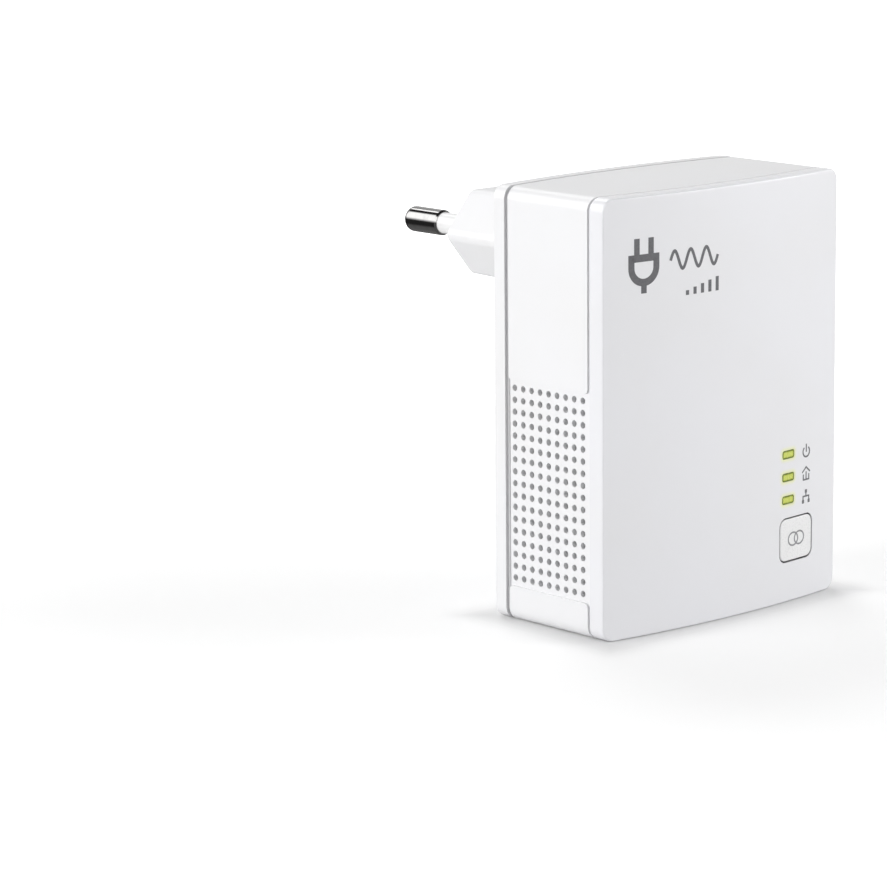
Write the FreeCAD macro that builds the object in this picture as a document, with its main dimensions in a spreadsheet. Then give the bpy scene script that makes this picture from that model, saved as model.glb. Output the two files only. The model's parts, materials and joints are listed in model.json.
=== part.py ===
import FreeCAD, Part
import math
import os
import re

import Sketcher
from FreeCAD import Vector

# Plug-in powerline adapter.
# X is the width, Y the depth (the front face looks along -Y, the plug pins point along +Y), Z is up.
# The origin is the middle of the underside of the whole adapter, plug included.
# A depth is measured along +Y from the vertical edges of the front face; every body is placed there.

DIMENSIONS = {
    # outer case
    "case_width": 50.0,
    "case_height": 65.6,
    "case_depth": 23.1,
    "front_edge_y": -28.4,
    "face_radius": 157.25,
    "corner_radius": 2.0,
    "wall": 1.6,
    "face_wall": 1.8,
    "cut_margin": 1.0,
    "clear_of_case": 4.0,
    "front_edge_radius": 0.35,
    "rear_edge_radius": 0.35,
    # how the three shells meet
    "front_cover_depth": 2.75,
    "front_groove": 0.45,
    "rear_cover_depth": 20.25,
    "rear_groove": 0.3,
    "groove_depth": 0.9,
    "tongue_depth": 1.5,
    "tongue_thickness": 1.0,
    "tongue_clearance": 0.1,
    "neck_depth": 0.45,
    "neck_inset": 0.5,
    "joint_overlap": 0.3,
    # vent grilles
    "recess_depth": 0.4,
    "recess_top": 36.8,
    "recess_bottom": 5.4,
    "recess_corner": 0.7,
    "vent_radius": 0.5,
    "vent_pitch": 1.81,
    "vent_columns": 9.0,
    "vent_rows": 17.0,
    "vent_first_depth": 4.55,
    "vent_lowest": 6.65,
    # plug pedestal and pins
    "pin_height": 55.5,
    "pin_offset": 9.5,
    "pedestal_end": 41.3,
    "pedestal_root": 22.2,
    "pedestal_half_width": 18.9,
    "pedestal_half_flat": 13.1,
    "pedestal_half_height": 6.95,
    "pedestal_taper": 1.3,
    "pedestal_edge_radius": 1.5,
    "pedestal_end_radius": 0.4,
    "pedestal_wall": 2.2,
    "pedestal_floor": 35.0,
    "pin_radius": 2.0,
    "pin_core_radius": 1.2,
    "pin_collar_radius": 2.5,
    "pin_collar_thickness": 1.5,
    "pin_tail_start": 29.0,
    "pin_tip_length": 7.8,
    "pin_tip_round": 1.2,
    "pin_shoulder_bevel": 0.25,
    "pin_end": 58.8,
    "sleeve_radius": 1.65,
    "sleeve_start": 36.0,
    "terminal_radius": 1.9,
    "terminal_length": 3.5,
    "strap_width": 3.0,
    "strap_thickness": 0.6,
    # lamp windows, light guide and pair key
    "window_across": 13.0,
    "window_low": 16.0,
    "window_pitch": 3.52,
    "window_width": 2.9,
    "window_height": 1.35,
    "window_corner": 0.4,
    "guide_clearance": 0.05,
    "guide_end": 4.35,
    "guide_bar_start": 1.3,
    "guide_bar_thickness": 0.9,
    "guide_bar_width": 3.8,
    "key_across": 15.05,
    "key_up": 9.7,
    "key_opening_width": 8.2,
    "key_opening_height": 7.0,
    "key_opening_corner": 1.5,
    "key_gap": 0.25,
    "key_flange": 0.6,
    "key_flange_start": 1.15,
    "key_flange_thickness": 0.6,
    "key_stem_radius": 1.5,
    "key_stem_end": 2.35,
    "key_edge_radius": 0.15,
    # network jack
    "jack_width": 16.0,
    "jack_depth": 13.4,
    "jack_start": 6.35,
    "jack_underside": 0.05,
    "jack_length": 18.0,
    "jack_gap": 0.12,
    "jack_cavity_start": 2.45,
    "jack_cavity_width": 12.2,
    "jack_cavity_depth": 8.0,
    "jack_notch_start": 2.4,
    "jack_notch_length": 3.4,
    "jack_notch_depth": 0.6,
    "jack_step_width": 7.0,
    "jack_step_depth": 1.3,
    "jack_latch_width": 4.4,
    "jack_latch_depth": 1.15,
    "jack_cavity_length": 14.0,
    "contact_pitch": 1.02,
    "contact_gap": 0.05,
    "contact_width": 0.45,
    "contact_thickness": 0.35,
    "contact_slant": 2.3,
    "contact_low": 3.0,
    # main board
    "board_depth": 5.15,
    "board_thickness": 1.2,
    "board_half_width": 22.0,
    "main_board_low": 2.4,
    "main_board_height": 44.6,
    "board_corner": 1.0,
    "boss_radius": 2.3,
    "boss_root": 0.2,
    "screw_radius": 1.0,
    "screw_length": 3.5,
    "screw_head_radius": 1.9,
    "screw_head_thickness": 1.4,
    "screw_left": -18.5,
    "screw_right": 19.0,
    "screw_low": 6.5,
    "screw_high": 41.0,
    # power board
    "power_board_depth": 17.2,
    "power_board_low": 20.0,
    "power_board_height": 42.0,
    "post_radius": 1.5,
    "post_across": 19.0,
    "post_low": 23.0,
    "post_high": 60.0,
    "post_root": 22.4,
    # parts on the main board
    "lamp_width": 1.6,
    "lamp_height": 0.8,
    "lamp_thickness": 0.6,
    "switch_size": 4.5,
    "switch_thickness": 1.8,
    "switch_well": 1.6,
    "plunger_radius": 1.2,
    "plunger_gap": 0.1,
    "plunger_start": 2.4,
    "plunger_length": 2.2,
    "processor_size": 12.0,
    "processor_thickness": 0.9,
    "processor_across": 8.0,
    "processor_up": 38.0,
    "heatsink_base": 0.8,
    "heatsink_fin_depth": 1.7,
    "heatsink_fin": 0.8,
    "heatsink_fins": 6.0,
    "header_across": -14.0,
    "header_up": 25.2,
    "header_width": 10.2,
    "header_height": 2.5,
    "header_pitch": 2.54,
    "header_hole_radius": 0.4,
    "header_pin_radius": 0.35,
    "header_block_depth": 2.5,
    "chip_capacitor_first": -9.4,
    "chip_capacitor_up": 28.5,
    "chip_capacitor_width": 1.0,
    "chip_capacitor_height": 0.6,
    "chip_capacitor_pitch": 2.2,
    # supply transformer
    "transformer_across": -14.0,
    "transformer_up": 54.5,
    "transformer_core_width": 14.0,
    "transformer_core_height": 12.5,
    "transformer_core_start": 9.2,
    "transformer_core_depth": 6.0,
    "transformer_leg": 3.6,
    "transformer_window_width": 3.2,
    "transformer_window_height": 8.5,
    "transformer_winding_depth": 10.0,
    "transformer_gap": 0.1,
    # round parts on the power board
    "can_gap": 0.1,
    "bulk_capacitor_radius": 4.0,
    "bulk_capacitor_length": 13.0,
    "bulk_capacitor_start": -21.0,
    "bulk_capacitor_low": 33.5,
    "bulk_capacitor_pitch": 9.0,
    "fuse_radius": 1.6,
    "fuse_cap_radius": 1.8,
    "fuse_cap_length": 2.0,
    "fuse_length": 10.0,
    "fuse_up": 59.0,
    # rating label
    "label_half_width": 18.0,
    "label_low": 12.0,
    "label_height": 28.0,
    "label_lift": 0.02,
    "label_thickness": 0.12,
}

# Plain rectangular components: size (across, depth, up) and least corner (across, depth, up) in mm.
# Depths are measured like every other depth, and all of them touch the board that carries them.
COMPONENTS = {
    "ethernet_magnetics": ((15.2, 5.5, 7.2), (-7.6, 6.35, 19.6)),
    "ethernet_chip": ((6.0, 0.9, 6.0), (-17.5, 6.35, 10.5)),
    "memory_chip": ((8.0, 1.1, 10.0), (-10.0, 6.35, 31.0)),
    "flash_chip": ((5.0, 1.6, 4.0), (12.0, 6.35, 20.0)),
    "crystal": ((8.0, 3.0, 3.6), (12.5, 6.35, 26.4)),
    "x_capacitor": ((13.0, 10.0, 6.0), (8.0, 7.2, 55.5)),
    "bridge_rectifier": ((6.5, 2.6, 5.0), (-5.5, 14.6, 41.5)),
    "supply_controller": ((5.0, 1.6, 4.0), (-5.0, 15.6, 34.5)),
    "optocoupler": ((6.5, 3.5, 4.6), (3.5, 13.7, 43.5)),
    "coupling_transformer": ((9.0, 6.5, 8.0), (8.5, 10.7, 22.2)),
}

# Plain round components: plane across the axis, centre (across, depth or up), start along the axis,
# radius and length, in mm.
ROUND_COMPONENTS = {
    "varistor": ("XY_Plane", (14.5, 12.4), 48.8, 4.5, 3.5),
    "y_capacitor": ("XY_Plane", (-3.0, 13.6), 28.0, 3.4, 3.0),
    "output_capacitor": ("XY_Plane", (18.3, 13.9), 33.0, 3.15, 9.0),
    "output_inductor": ("XZ_Plane", (9.5, 36.0), 12.2, 3.5, 5.0),
}

CLOSE = 1e-4

document = FreeCAD.newDocument("powerline_adapter")
sheet = document.addObject("Spreadsheet::Sheet", "Dims")
nodes = []


def fill_sheet():
    """One row for each driving dimension: its name, then its value under that alias."""
    values = dict(DIMENSIONS)
    for name, (size, corner) in COMPONENTS.items():
        for axis, length, start in zip(("across", "depth", "up"), size, corner):
            values[f"{name}_size_{axis}"] = length
            values[f"{name}_from_{axis}"] = start
    for name, (_, centre, start, radius, length) in ROUND_COMPONENTS.items():
        values[f"{name}_centre_one"] = centre[0]
        values[f"{name}_centre_two"] = centre[1]
        values[f"{name}_start"] = start
        values[f"{name}_radius"] = radius
        values[f"{name}_length"] = length
    for row, (alias, value) in enumerate(values.items(), start=1):
        sheet.set(f"A{row}", alias)
        sheet.set(f"B{row}", str(value))
        sheet.setAlias(f"B{row}", alias)
    document.recompute()
    return set(values)


ALIASES = fill_sheet()


def formula(text):
    """The expression with every dimension's name pointing at its cell in the sheet."""
    return re.sub(r"[a-z_]+", lambda word: "Dims." + word[0] if word[0] in ALIASES else word[0], str(text))


def number(text):
    """The present value of a formula."""
    return float(sheet.evalExpression(formula(text)))


def bind(item, path, text):
    """Tie one property of an object to a formula of the sheet's dimensions."""
    item.setExpression(path, formula(text))


def place(item, x="0", y="0", z="0"):
    for axis, text in zip("xyz", (x, y, z)):
        bind(item, f"Placement.Base.{axis}", text)


def keep(item, name):
    """Count an object as one of the adapter's separate pieces."""
    item.Label = name
    nodes.append(item)
    return item


# ---------------------------------------------------------------- sketch and feature helpers


def new_body(name, x="0", z="0"):
    """A body whose own Y is the depth behind the front face's vertical edges."""
    body = document.addObject("PartDesign::Body", name)
    place(body, x, "front_edge_y", z)
    return keep(body, name)


def sketch_on(body, role, name, offset="0"):
    """A sketch on one of the body's own planes, moved along that plane's normal."""
    plane = next(item for item in body.Origin.OriginFeatures if item.Role == role)
    sketch = body.newObject("Sketcher::SketchObject", f"{body.Name}_{name}")
    sketch.AttachmentSupport = [(plane, "")]
    sketch.MapMode = "FlatFace"
    bind(sketch, "AttachmentOffset.Base.z", offset)
    return sketch


def sketch_facing(body, name, depth):
    """A sketch in X and Z that lies at the given depth; its normal points to the front."""
    return sketch_on(body, "XZ_Plane", name, f"-({depth})")


def named_constraint(sketch, kind, arguments, text):
    """Add a dimension to the sketch and tie it to a formula."""
    index = sketch.addConstraint(Sketcher.Constraint(kind, *arguments, number(text)))
    label = f"size{index}"
    sketch.renameConstraint(index, label)
    bind(sketch, f"Constraints.{label}", text)


def fix_point(sketch, curve, end, x, y):
    """Hold one end (or the centre) of a curve at formulas of X and Y."""
    for kind, axis_line, text in (("DistanceX", -2, x), ("DistanceY", -1, y)):
        if text == "0":
            sketch.addConstraint(Sketcher.Constraint("PointOnObject", curve, end, axis_line))
        else:
            named_constraint(sketch, kind, (-1, 1, curve, end), text)


def arc_between(start, end, radius, turn):
    """The arc from start to end that turns left (turn 1) or right (turn -1), shorter way round."""
    chord = end - start
    reach = math.sqrt(max(radius ** 2 - (chord.Length / 2) ** 2, 0.0))
    left = Vector(-chord.y, chord.x, 0).normalize()
    centre = start + chord * 0.5 + left * reach * turn
    first, last = (start, end) if turn > 0 else (end, start)
    angles = [math.atan2(point.y - centre.y, point.x - centre.x) for point in (first, last)]
    return Part.ArcOfCircle(Part.Circle(centre, Vector(0, 0, 1), radius), *angles)


def outline(sketch, corners):
    """A closed outline. A corner is (x, y), or (x, y, radius, turn) where an arc starts there."""
    points = [Vector(number(corner[0]), number(corner[1]), 0) for corner in corners]
    count = len(corners)
    ends = []
    for step, corner in enumerate(corners):
        start, end = points[step], points[(step + 1) % count]
        if len(corner) == 2:
            curve = sketch.addGeometry(Part.LineSegment(start, end))
            ends.append((curve, 1, 2))
        else:
            turn = corner[3]
            curve = sketch.addGeometry(arc_between(start, end, number(corner[2]), turn))
            ends.append((curve, 1, 2) if turn > 0 else (curve, 2, 1))
    for step, (curve, first, last) in enumerate(ends):
        after, after_first, _ = ends[(step + 1) % count]
        sketch.addConstraint(Sketcher.Constraint("Coincident", curve, last, after, after_first))
        fix_point(sketch, curve, first, corners[step][0], corners[step][1])
        if len(corners[step]) == 4:
            named_constraint(sketch, "Radius", (curve,), corners[step][2])


def circle(sketch, x, y, radius):
    curve = sketch.addGeometry(Part.Circle(Vector(number(x), number(y), 0), Vector(0, 0, 1), number(radius)))
    fix_point(sketch, curve, 3, x, y)
    named_constraint(sketch, "Radius", (curve,), radius)


def rectangle(sketch, x, y, width, height):
    """A rectangle about the point x, y."""
    left, right = f"{x} - ({width}) / 2", f"{x} + ({width}) / 2"
    low, high = f"{y} - ({height}) / 2", f"{y} + ({height}) / 2"
    outline(sketch, [(left, low), (right, low), (right, high), (left, high)])


def rounded_rectangle(sketch, x, y, width, height, radius):
    """A rectangle about the point x, y with round corners."""
    left, right = f"{x} - ({width}) / 2", f"{x} + ({width}) / 2"
    low, high = f"{y} - ({height}) / 2", f"{y} + ({height}) / 2"
    outline(sketch, [
        (f"{left} + ({radius})", low),
        (f"{right} - ({radius})", low, radius, 1),
        (right, f"{low} + ({radius})"),
        (right, f"{high} - ({radius})", radius, 1),
        (f"{right} - ({radius})", high),
        (f"{left} + ({radius})", high, radius, 1),
        (left, f"{high} - ({radius})"),
        (left, f"{low} + ({radius})", radius, 1),
    ])


def bow(half):
    """How far the bowed face falls back at a distance from its middle line."""
    return f"(face_radius - sqrt(face_radius ^ 2 - ({half}) ^ 2))"


def front_depth(half, behind="0"):
    """Depth of the bowed front face, moved back by a distance, at a distance from the middle."""
    return f"({behind}) + {bow(half)} - {bow('case_width / 2')}"


def rear_depth(half, edge="case_depth"):
    """Depth of a surface that bows to the rear, given its depth at the case's sides."""
    return f"({edge}) - {bow(half)} + {bow('case_width / 2')}"


def bowed_strip(sketch, half, front, rear):
    """A strip across the case, each end bowed: (depth, 'front' or 'rear' for the way it bulges)."""
    depths = []
    for depth, way in (front, rear):
        depths.append(front_depth(half, depth) if way == "front" else rear_depth(half, depth))
    turns = [1 if front[1] == "front" else -1, -1 if rear[1] == "front" else 1]
    outline(sketch, [
        (f"-({half})", depths[0], "face_radius", turns[0]),
        (half, depths[0]),
        (half, depths[1], "face_radius", turns[1]),
        (f"-({half})", depths[1]),
    ])


def feature(body, kind, name, sketch, length, backwards=False, both=False):
    """A pad or pocket; it is checked to change the solid, so that none points the wrong way."""
    before = body.Shape.Volume if body.Tip else 0.0
    item = body.newObject(f"PartDesign::{kind}", f"{body.Name}_{name}")
    item.Profile = sketch
    bind(item, "Length", length)
    item.Reversed = backwards
    if both:
        item.SideType = "Symmetric"
    document.recompute()
    change = body.Shape.Volume - before
    if (change <= 0) if kind == "Pad" else (change >= 0):
        raise RuntimeError(f"{item.Name} changes nothing")
    return item


def pad_rearward(body, name, sketch, length):
    """Grow a facing sketch towards the plug."""
    return feature(body, "Pad", name, sketch, length, backwards=True)


def cut_rearward(body, name, sketch, length):
    """Cut a facing sketch towards the plug."""
    return feature(body, "Pocket", name, sketch, length)


def bowed_slab(body, name, half, front, rear, inset="0"):
    """An upright slab of the case between two bowed ends, the same inset all round."""
    sketch = sketch_on(body, "XY_Plane", f"{name}_outline", inset)
    bowed_strip(sketch, half, front, rear)
    return feature(body, "Pad", name, sketch, f"case_height - 2 * ({inset})")


def bowed_cavity(body, name, half, front, rear, inset):
    sketch = sketch_on(body, "XY_Plane", f"{name}_outline", inset)
    bowed_strip(sketch, half, front, rear)
    return feature(body, "Pocket", name, sketch, f"case_height - 2 * ({inset})", backwards=True)


def fillet(body, name, radius, wanted):
    """Round every edge of the body that the test picks out."""
    document.recompute()
    base = body.Tip
    picked = [f"Edge{index}" for index, edge in enumerate(base.Shape.Edges, start=1) if wanted(edge)]
    if not picked:
        raise RuntimeError(f"{body.Name} has no edge for {name}")
    item = body.newObject("PartDesign::Fillet", f"{body.Name}_{name}")
    item.Base = (base, picked)
    bind(item, "Radius", radius)
    document.recompute()
    return item


def samples(edge):
    """Five points along an edge."""
    first, last = edge.ParameterRange
    return [edge.valueAt(first + (last - first) * share / 4) for share in range(5)]


def runs_along_depth(half):
    """Picks the straight edges that run front to back at the given distance from the middle."""
    reach = number(half)

    def wanted(edge):
        points = samples(edge)
        same_side = all(abs(abs(point.x) - reach) < CLOSE for point in points)
        same_height = max(point.z for point in points) - min(point.z for point in points) < CLOSE
        return same_side and same_height

    return wanted


def lies_on_face(depth_at):
    """Picks the edges that lie wholly on the bowed surface whose depth is given by half-width."""
    face_radius = number("face_radius")
    middle = number(depth_at("0"))
    sense = 1 if number(depth_at("case_width / 2")) > middle else -1

    def wanted(edge):
        gaps = []
        for point in samples(edge):
            fall = face_radius - math.sqrt(face_radius ** 2 - point.x ** 2)
            gaps.append(abs(point.y - (middle + sense * fall)))
        return max(gaps) < CLOSE

    return wanted


def mirror_across(body, name, original):
    """Repeat a feature on the other side of the case's middle plane."""
    plane = next(item for item in body.Origin.OriginFeatures if item.Role == "YZ_Plane")
    item = body.newObject("PartDesign::Mirrored", f"{body.Name}_{name}")
    item.Originals = [original]
    item.MirrorPlane = (plane, [""])
    body.Tip = item
    document.recompute()
    return item


def axis_line(body, role):
    return next(item for item in body.Origin.OriginFeatures if item.Role == role)


def row_pattern(body, name, role, pitch, count):
    item = body.newObject("PartDesign::LinearPattern", f"{body.Name}_{name}")
    item.Direction = (axis_line(body, role), [""])
    item.Mode = "Spacing"
    bind(item, "Offset", pitch)
    bind(item, "Occurrences", count)
    return item


def repeat(body, name, original, role, pitch, count):
    """Repeat a feature in a row along one axis."""
    item = row_pattern(body, name, role, pitch, count)
    item.Originals = [original]
    body.Tip = item
    document.recompute()


def repeat_in_grid(body, name, original, first, second):
    """Repeat a feature in a grid; each direction is (axis, pitch, count)."""
    grid = body.newObject("PartDesign::MultiTransform", f"{body.Name}_{name}")
    grid.Originals = [original]
    grid.Transformations = [row_pattern(body, f"{name}_{step}", *direction)
                            for step, direction in enumerate((first, second), start=1)]
    body.Tip = grid
    document.recompute()


def block(name, size, corner):
    """A plain rectangular piece from its size and its least corner (across, depth, up)."""
    item = document.addObject("Part::Box", name)
    for side, text in zip(("Length", "Width", "Height"), size):
        bind(item, side, text)
    place(item, corner[0], f"front_edge_y + {corner[1]}", corner[2])
    return keep(item, name)


# ---------------------------------------------------------------- case


HALF_WIDTH = "case_width / 2"
TONGUE_INSET = "wall + tongue_clearance"
TONGUE_HALF = "case_width / 2 - wall - tongue_clearance"
TONGUE_CORNER = "corner_radius - wall - tongue_clearance"
CAVITY_INSET = "wall + tongue_clearance + tongue_thickness"
CAVITY_HALF = "case_width / 2 - wall - tongue_clearance - tongue_thickness"
SCREW_PLACES = (("screw_left", "screw_low"), ("screw_left", "screw_high"), ("screw_right", "screw_high"))
BEFORE_FACE = "-clear_of_case"


def make_front_cover():
    """Bowed cap: a shallow tray with a tongue, three lamp windows, a key opening and screw bosses."""
    body = new_body("front_cover")
    bowed_slab(body, "tongue", TONGUE_HALF, ("front_cover_depth - joint_overlap", "front"),
               ("front_cover_depth + tongue_depth", "front"), TONGUE_INSET)
    fillet(body, "tongue_corners", TONGUE_CORNER, runs_along_depth(TONGUE_HALF))
    bowed_slab(body, "cap", HALF_WIDTH, ("0", "front"), ("front_cover_depth", "front"))
    fillet(body, "corners", "corner_radius", runs_along_depth(HALF_WIDTH))
    fillet(body, "face_edge", "front_edge_radius", lies_on_face(front_depth))
    bowed_cavity(body, "cavity", CAVITY_HALF, ("face_wall", "front"),
                 ("front_cover_depth + 2 * tongue_depth", "front"), CAVITY_INSET)
    bosses = sketch_facing(body, "boss_outline", "boss_root")
    holes = sketch_facing(body, "screw_hole_outline", "board_depth - screw_length + board_thickness")
    for across, up in SCREW_PLACES:
        circle(bosses, across, up, "boss_radius")
        circle(holes, across, up, "screw_radius")
    pad_rearward(body, "bosses", bosses, "board_depth - boss_root")
    cut_rearward(body, "screw_holes", holes, "screw_length")
    opening = sketch_facing(body, "key_outline", BEFORE_FACE)
    rounded_rectangle(opening, "key_across", "key_up", "key_opening_width", "key_opening_height",
                      "key_opening_corner")
    cut_rearward(body, "key_opening", opening, "board_depth + clear_of_case")
    windows = sketch_facing(body, "window_outline", BEFORE_FACE)
    for step in range(3):
        rounded_rectangle(windows, "window_across", f"window_low + {step} * window_pitch",
                          "window_width", "window_height", "window_corner")
    cut_rearward(body, "windows", windows, "board_depth + clear_of_case")


def recess_outline(sketch):
    """The sunk grille field in depth and height; it flares where it runs out into the grooves."""
    front, rear = "front_cover_depth + front_groove", "rear_cover_depth - rear_groove"
    top, low, corner = "recess_top", "recess_bottom", "recess_corner"
    ahead, behind = BEFORE_FACE, "case_depth + clear_of_case"
    outline(sketch, [
        (ahead, f"{low} - {corner}"),
        (front, f"{low} - {corner}", corner, -1),
        (f"{front} + {corner}", low),
        (f"{rear} - {corner}", low, corner, -1),
        (rear, f"{low} - {corner}"),
        (behind, f"{low} - {corner}"),
        (behind, f"{top} + {corner}"),
        (rear, f"{top} + {corner}", corner, -1),
        (f"{rear} - {corner}", top),
        (f"{front} + {corner}", top, corner, -1),
        (front, f"{top} + {corner}"),
        (ahead, f"{top} + {corner}"),
    ])


def make_middle_casing():
    """Sleeve between the covers: narrower where the grooves run, with a sunk grille in each side."""
    body = new_body("middle_casing")
    core_half = "case_width / 2 - groove_depth"
    bowed_slab(body, "core", core_half, ("front_cover_depth", "front"), ("rear_cover_depth", "rear"),
               "groove_depth")
    fillet(body, "core_corners", "corner_radius - groove_depth", runs_along_depth(core_half))
    bowed_slab(body, "skin", HALF_WIDTH, ("front_cover_depth + front_groove", "front"),
               ("rear_cover_depth - rear_groove", "rear"))
    fillet(body, "skin_corners", "corner_radius", runs_along_depth(HALF_WIDTH))
    bore = sketch_facing(body, "bore_outline", BEFORE_FACE)
    rounded_rectangle(bore, "0", "case_height / 2", "case_width - 2 * wall", "case_height - 2 * wall",
                      "corner_radius - wall")
    cut_rearward(body, "bore", bore, "case_depth + 2 * clear_of_case")
    recess = sketch_on(body, "YZ_Plane", "recess_outline", "case_width / 2 - recess_depth")
    recess_outline(recess)
    one_side = feature(body, "Pocket", "recess", recess, "2 * recess_depth", backwards=True)
    mirror_across(body, "both_recesses", one_side)
    vent = sketch_on(body, "YZ_Plane", "vent_outline")
    circle(vent, "vent_first_depth", "vent_lowest", "vent_radius")
    hole = feature(body, "Pocket", "vent", vent, "case_width + 2 * cut_margin", both=True)
    repeat_in_grid(body, "vents", hole, ("Y_Axis", "vent_pitch", "vent_columns"),
                   ("Z_Axis", "vent_pitch", "vent_rows"))
    port = sketch_on(body, "XY_Plane", "port_outline", "-cut_margin")
    rectangle(port, "0", "jack_start + jack_depth / 2", "jack_width + 2 * jack_gap",
              "jack_depth + 2 * jack_gap")
    feature(body, "Pocket", "port", port, "2 * wall + cut_margin", backwards=True)


def hexagon(sketch, inset="0"):
    """The plug's six-sided profile about the pins' height, corners at the left and right."""
    side, flat, height = (f"{name} - ({inset})" for name in
                          ("pedestal_half_width", "pedestal_half_flat", "pedestal_half_height"))
    middle = "pin_height"
    outline(sketch, [
        (f"-({side})", middle),
        (f"-({flat})", f"{middle} - ({height})"),
        (flat, f"{middle} - ({height})"),
        (side, middle),
        (flat, f"{middle} + ({height})"),
        (f"-({flat})", f"{middle} + ({height})"),
    ])


def pedestal_edge(edge):
    """Picks the edges of the plug pedestal that run front to back."""
    depths = [point.y for point in samples(edge)]
    root, end = number("rear_cover_depth"), number("pedestal_end")
    return max(depths) > end - CLOSE and root < min(depths) < (root + end) / 2


def pedestal_rim(edge):
    """Picks the edges round the end face of the plug pedestal."""
    end = number("pedestal_end")
    return all(abs(point.y - end) < CLOSE for point in samples(edge))


def make_rear_cover():
    """Bowed back with a stepped neck, a tongue, the hollow plug pedestal and four board posts."""
    body = new_body("rear_cover")
    neck_half = "case_width / 2 - neck_inset"
    bowed_slab(body, "tongue", TONGUE_HALF, ("rear_cover_depth - tongue_depth", "rear"),
               ("rear_cover_depth + joint_overlap", "rear"), TONGUE_INSET)
    fillet(body, "tongue_corners", TONGUE_CORNER, runs_along_depth(TONGUE_HALF))
    bowed_slab(body, "neck", neck_half, ("rear_cover_depth", "rear"),
               ("rear_cover_depth + neck_depth + joint_overlap", "rear"), "neck_inset")
    fillet(body, "neck_corners", "corner_radius - neck_inset", runs_along_depth(neck_half))
    bowed_slab(body, "back", HALF_WIDTH, ("rear_cover_depth + neck_depth", "rear"), ("case_depth", "rear"))
    fillet(body, "corners", "corner_radius", runs_along_depth(HALF_WIDTH))
    fillet(body, "back_edge", "rear_edge_radius", lies_on_face(rear_depth))
    pedestal = sketch_facing(body, "pedestal_outline", "pedestal_root")
    hexagon(pedestal)
    plug = pad_rearward(body, "pedestal", pedestal, "pedestal_end - pedestal_root")
    bind(plug, "TaperAngle", "-pedestal_taper")
    document.recompute()
    fillet(body, "pedestal_edges", "pedestal_edge_radius", pedestal_edge)
    fillet(body, "pedestal_rim", "pedestal_end_radius", pedestal_rim)
    bowed_cavity(body, "cavity", CAVITY_HALF, ("rear_cover_depth - 2 * tongue_depth", "rear"),
                 ("case_depth - face_wall", "rear"), CAVITY_INSET)
    hollow = sketch_facing(body, "hollow_outline", "rear_cover_depth - cut_margin")
    hexagon(hollow, "pedestal_wall")
    cut_rearward(body, "hollow", hollow, "pedestal_floor - rear_cover_depth + cut_margin")
    core_holes = sketch_facing(body, "core_hole_outline", "pedestal_floor - cut_margin")
    sleeve_holes = sketch_facing(body, "sleeve_hole_outline", "sleeve_start")
    for across in ("-pin_offset", "pin_offset"):
        circle(core_holes, across, "pin_height", "pin_core_radius")
        circle(sleeve_holes, across, "pin_height", "sleeve_radius")
    cut_rearward(body, "core_holes", core_holes, "sleeve_start - pedestal_floor + 2 * cut_margin")
    cut_rearward(body, "sleeve_holes", sleeve_holes, "pedestal_end - sleeve_start + cut_margin")
    posts = sketch_facing(body, "post_outline", "power_board_depth + board_thickness")
    for across in ("-post_across", "post_across"):
        for up in ("post_low", "post_high"):
            circle(posts, across, up, "post_radius")
    pad_rearward(body, "posts", posts, "post_root - power_board_depth - board_thickness")


def make_rating_label():
    """Thin blank label that follows the bowed back below the plug."""
    body = new_body("rating_label")
    sketch = sketch_on(body, "XY_Plane", "outline", "label_low")
    bowed_strip(sketch, "label_half_width", ("case_depth + label_lift", "rear"),
                ("case_depth + label_lift + label_thickness", "rear"))
    feature(body, "Pad", "sheet", sketch, "label_height")


# ---------------------------------------------------------------- plug


def make_plug_pin(side, across):
    """Turned pin: tail, collar, thin core under the sleeve, and a thicker round-nosed tip."""
    body = new_body(f"plug_pin_{side}", across, "pin_height")
    sketch = sketch_on(body, "XY_Plane", "profile")
    nose = "pin_end - pin_tip_round"
    tip_start = "pin_end - pin_tip_length"
    outline(sketch, [
        ("0", "pin_tail_start"),
        ("pin_core_radius", "pin_tail_start"),
        ("pin_core_radius", "pedestal_floor - pin_collar_thickness"),
        ("pin_collar_radius", "pedestal_floor - pin_collar_thickness"),
        ("pin_collar_radius", "pedestal_floor"),
        ("pin_core_radius", "pedestal_floor"),
        ("pin_core_radius", tip_start),
        ("pin_radius - pin_shoulder_bevel", tip_start),
        ("pin_radius", f"{tip_start} + pin_shoulder_bevel"),
        ("pin_radius", nose, "pin_tip_round", 1),
        ("pin_radius - pin_tip_round", "pin_end"),
        ("0", "pin_end"),
    ])
    turned = body.newObject("PartDesign::Revolution", f"{body.Name}_turned")
    turned.Profile = sketch
    turned.ReferenceAxis = (sketch, ["V_Axis"])
    document.recompute()


def make_pin_sleeve(side, across):
    """Insulating tube round the first part of a pin, let into the pedestal."""
    body = new_body(f"pin_sleeve_{side}", across, "pin_height")
    ring = sketch_facing(body, "ring", "sleeve_start")
    circle(ring, "0", "0", "sleeve_radius")
    circle(ring, "0", "0", "pin_core_radius")
    pad_rearward(body, "tube", ring, "pin_end - pin_tip_length - sleeve_start")


def make_pin_terminal(side, across):
    """Strap from the power board's back to a barrel crimped on the pin's tail."""
    body = new_body(f"pin_terminal_{side}", across, "pin_height")
    ring = sketch_facing(body, "barrel_outline", "pin_tail_start")
    circle(ring, "0", "0", "terminal_radius")
    circle(ring, "0", "0", "pin_core_radius")
    pad_rearward(body, "barrel", ring, "terminal_length")
    strap = sketch_facing(body, "strap_outline", "power_board_depth + board_thickness")
    rectangle(strap, "0", "terminal_radius", "strap_width", "strap_thickness")
    pad_rearward(body, "strap", strap,
                 "pin_tail_start + terminal_length - power_board_depth - board_thickness")


# ---------------------------------------------------------------- key, switch and light guide


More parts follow.
